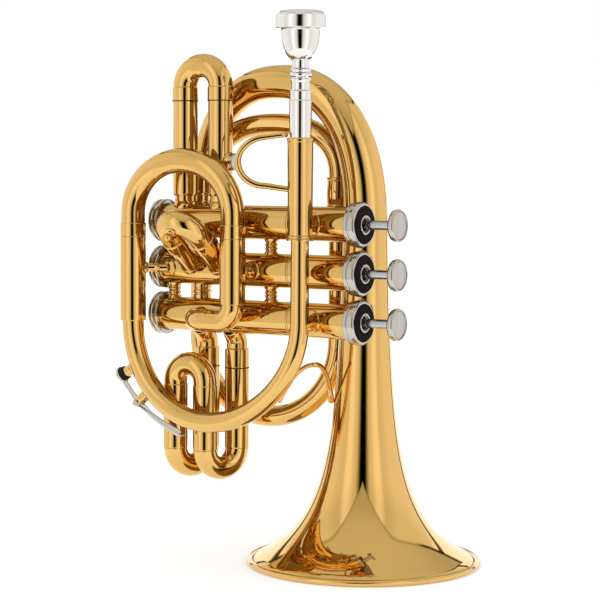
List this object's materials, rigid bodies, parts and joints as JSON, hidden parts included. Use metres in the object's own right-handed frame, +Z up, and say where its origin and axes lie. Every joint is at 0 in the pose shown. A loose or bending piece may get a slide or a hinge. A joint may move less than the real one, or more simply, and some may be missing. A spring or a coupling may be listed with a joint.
{
  "type": "pocket trumpet",
  "caption": "Compact valved brass horn with a tightly wrapped tube, standing upright on its flared bell, with slides, finger hook, mouthpiece and water key.",
  "frame": {"origin": "middle of the bounding box on the plane of the bell's rim, on which the horn stands", "axes": "+Z up from the bell's rim to the mouthpiece, +X along the valves towards the finger buttons, -Y the side of the mouthpiece pipe"},
  "size_m": [0.1929, 0.1334, 0.2915],
  "materials": {
    "lacquered_brass": "polished brass under clear gold lacquer",
    "silver_plate": "polished silver plate",
    "nickel": "polished nickel",
    "piston_metal": "honed nickel alloy, oiled",
    "key_cork": "matte black water key pad",
    "black_felt": "matte black felt and rubber rings",
    "pearl": "pale pearl-like button inlay"
  },
  "bodies": {
    "body": {"bell": "lacquered_brass", "bell_bow": "lacquered_brass", "bell_brace_1": "lacquered_brass", "bell_brace_3": "lacquered_brass", "bell_ferrule": "lacquered_brass", "bottom_bow": "lacquered_brass", "bottom_cap_1": "nickel", "bottom_cap_2": "nickel", "bottom_cap_3": "nickel", "casing_link_high_1_2": "lacquered_brass", "casing_link_high_2_3": "lacquered_brass", "casing_link_low_1_2": "lacquered_brass", "casing_link_low_2_3": "lacquered_brass", "finger_hook": "lacquered_brass", "first_sleeve_left": "lacquered_brass", "first_sleeve_right": "lacquered_brass", "inner_bow": "lacquered_brass", "inner_bow_ferrule": "lacquered_brass", "leadpipe": "lacquered_brass", "leadpipe_brace_1": "lacquered_brass", "leadpipe_brace_3": "lacquered_brass", "mouthpiece_receiver": "lacquered_brass", "s_brace": "lacquered_brass", "second_sleeve_left": "lacquered_brass", "second_sleeve_right": "lacquered_brass", "sleeve_brace_left": "lacquered_brass", "sleeve_brace_right": "lacquered_brass", "third_stem_left": "lacquered_brass", "third_stem_right": "lacquered_brass", "third_valve_elbow": "lacquered_brass", "top_cap_1": "nickel", "top_cap_2": "nickel", "top_cap_3": "nickel", "tuning_sleeve_left": "lacquered_brass", "tuning_sleeve_right": "lacquered_brass", "valve_casing_1": "lacquered_brass", "valve_casing_2": "lacquered_brass", "valve_casing_3": "lacquered_brass", "valve_knuckle_1_2": "lacquered_brass", "valve_knuckle_2_3": "lacquered_brass", "water_key_saddle": "lacquered_brass"},
    "valve_1": {"piston_1": "piston_metal", "finger_button_1": "nickel"},
    "valve_2": {"piston_2": "piston_metal", "finger_button_2": "nickel"},
    "valve_3": {"piston_3": "piston_metal", "finger_button_3": "nickel"},
    "tuning_slide": {"tuning_bow": "lacquered_brass", "tuning_leg_left": "lacquered_brass", "tuning_leg_right": "lacquered_brass"},
    "first_valve_slide": {"first_slide": "lacquered_brass"},
    "second_valve_slide": {"second_slide": "lacquered_brass"},
    "third_valve_slide": {"third_tube_right": "lacquered_brass", "third_tube_left": "lacquered_brass", "third_upper_loop": "lacquered_brass", "third_bow_right": "lacquered_brass", "third_bow_left": "lacquered_brass"},
    "mouthpiece": {"mouthpiece": "silver_plate"},
    "water_key": {"water_key_lever": "nickel", "water_key_cork": "key_cork"}
  },
  "joints": [
    {"name": "valve_1_press", "type": "slide", "parent": "body", "child": "valve_1", "axis": [-1, 0, 0], "range_m": [0, 0.016], "stiffness_N_per_m": 120, "springref_m": -0.02},
    {"name": "valve_2_press", "type": "slide", "parent": "body", "child": "valve_2", "axis": [-1, 0, 0], "range_m": [0, 0.016], "stiffness_N_per_m": 120, "springref_m": -0.02},
    {"name": "valve_3_press", "type": "slide", "parent": "body", "child": "valve_3", "axis": [-1, 0, 0], "range_m": [0, 0.016], "stiffness_N_per_m": 120, "springref_m": -0.02},
    {"name": "tuning_slide_pull", "type": "slide", "parent": "body", "child": "tuning_slide", "axis": [0, 0, 1], "range_m": [0, 0.022]},
    {"name": "first_slide_pull", "type": "slide", "parent": "body", "child": "first_valve_slide", "axis": [0, 0, 1], "range_m": [0, 0.025]},
    {"name": "second_slide_pull", "type": "slide", "parent": "body", "child": "second_valve_slide", "axis": [0, -0.788, 0.6157], "range_m": [0, 0.009]},
    {"name": "third_slide_pull", "type": "slide", "parent": "body", "child": "third_valve_slide", "axis": [0, 0, -1], "range_m": [0, 0.025]},
    {"name": "mouthpiece_pull", "type": "slide", "parent": "body", "child": "mouthpiece", "axis": [0, 0, 1], "range_m": [0, 0.022]},
    {"name": "water_key_press", "type": "hinge", "parent": "body", "child": "water_key", "pos_m": [-0.08185, -0.04107, 0.083], "axis": [0, -1, 0], "range_deg": [0, 7], "stiffness_Nm_per_rad": 0.03, "springref_deg": -17.19}
  ]
}
